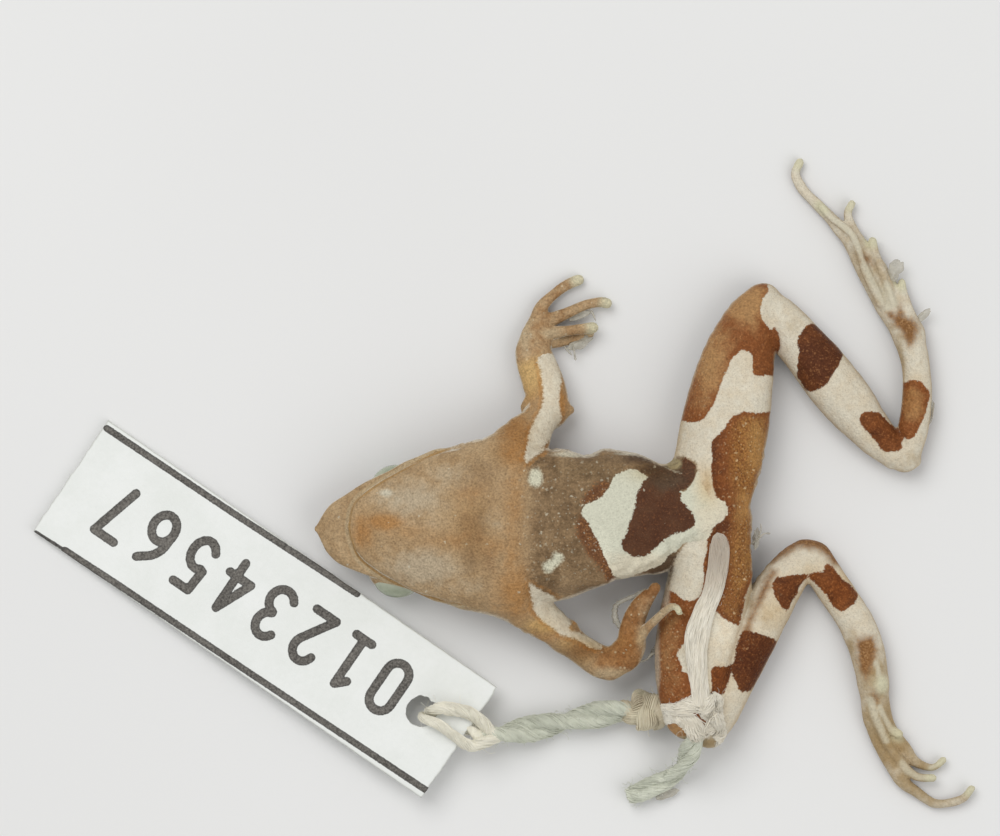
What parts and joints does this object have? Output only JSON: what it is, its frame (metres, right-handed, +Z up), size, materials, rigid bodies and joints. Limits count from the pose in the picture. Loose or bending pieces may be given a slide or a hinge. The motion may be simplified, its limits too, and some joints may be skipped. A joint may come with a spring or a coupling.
{
  "type": "preserved frog specimen with tag",
  "caption": "Small preserved Darwin's frog lying on its back with limbs spread, a card tag tied to its right knee with twisted cotton string",
  "frame": {"origin": "on the floor the specimen lies on, under the middle of the box round the whole object", "axes": "+X points from the snout towards the hind legs, along the picture's width. +Y points to the frog's own left side. +Z points up, out of the belly, towards the camera."},
  "size_m": [0.0458, 0.0316, 0.005],
  "materials": {
    "preserved_skin": "moist, fine grain, marked with white and dark brown patches",
    "clouded_eye": "wet gloss, cloudy",
    "tag_card": "matt card with black printed lines and numbers",
    "cotton_string": "soft twisted cotton"
  },
  "bodies": {
    "root": {"head": "preserved_skin", "lower_jaw": "preserved_skin", "eye_left": "clouded_eye", "eye_right": "clouded_eye", "chest": "preserved_skin", "abdomen": "preserved_skin", "pelvis": "preserved_skin", "upper_arm_left": "preserved_skin", "forearm_left": "preserved_skin", "hand_left": "preserved_skin", "upper_arm_right": "preserved_skin", "forearm_right": "preserved_skin", "hand_right": "preserved_skin", "thigh_left": "preserved_skin", "shank_left": "preserved_skin", "tarsus_left": "preserved_skin", "foot_left": "preserved_skin", "thigh_right": "preserved_skin", "shank_right": "preserved_skin", "tarsus_right": "preserved_skin", "foot_right": "preserved_skin", "tag": "tag_card", "tie_loop": "cotton_string", "cord": "cotton_string", "knot": "cotton_string", "cord_tail": "cotton_string", "loose_strand": "cotton_string"}
  },
  "joints": []
}
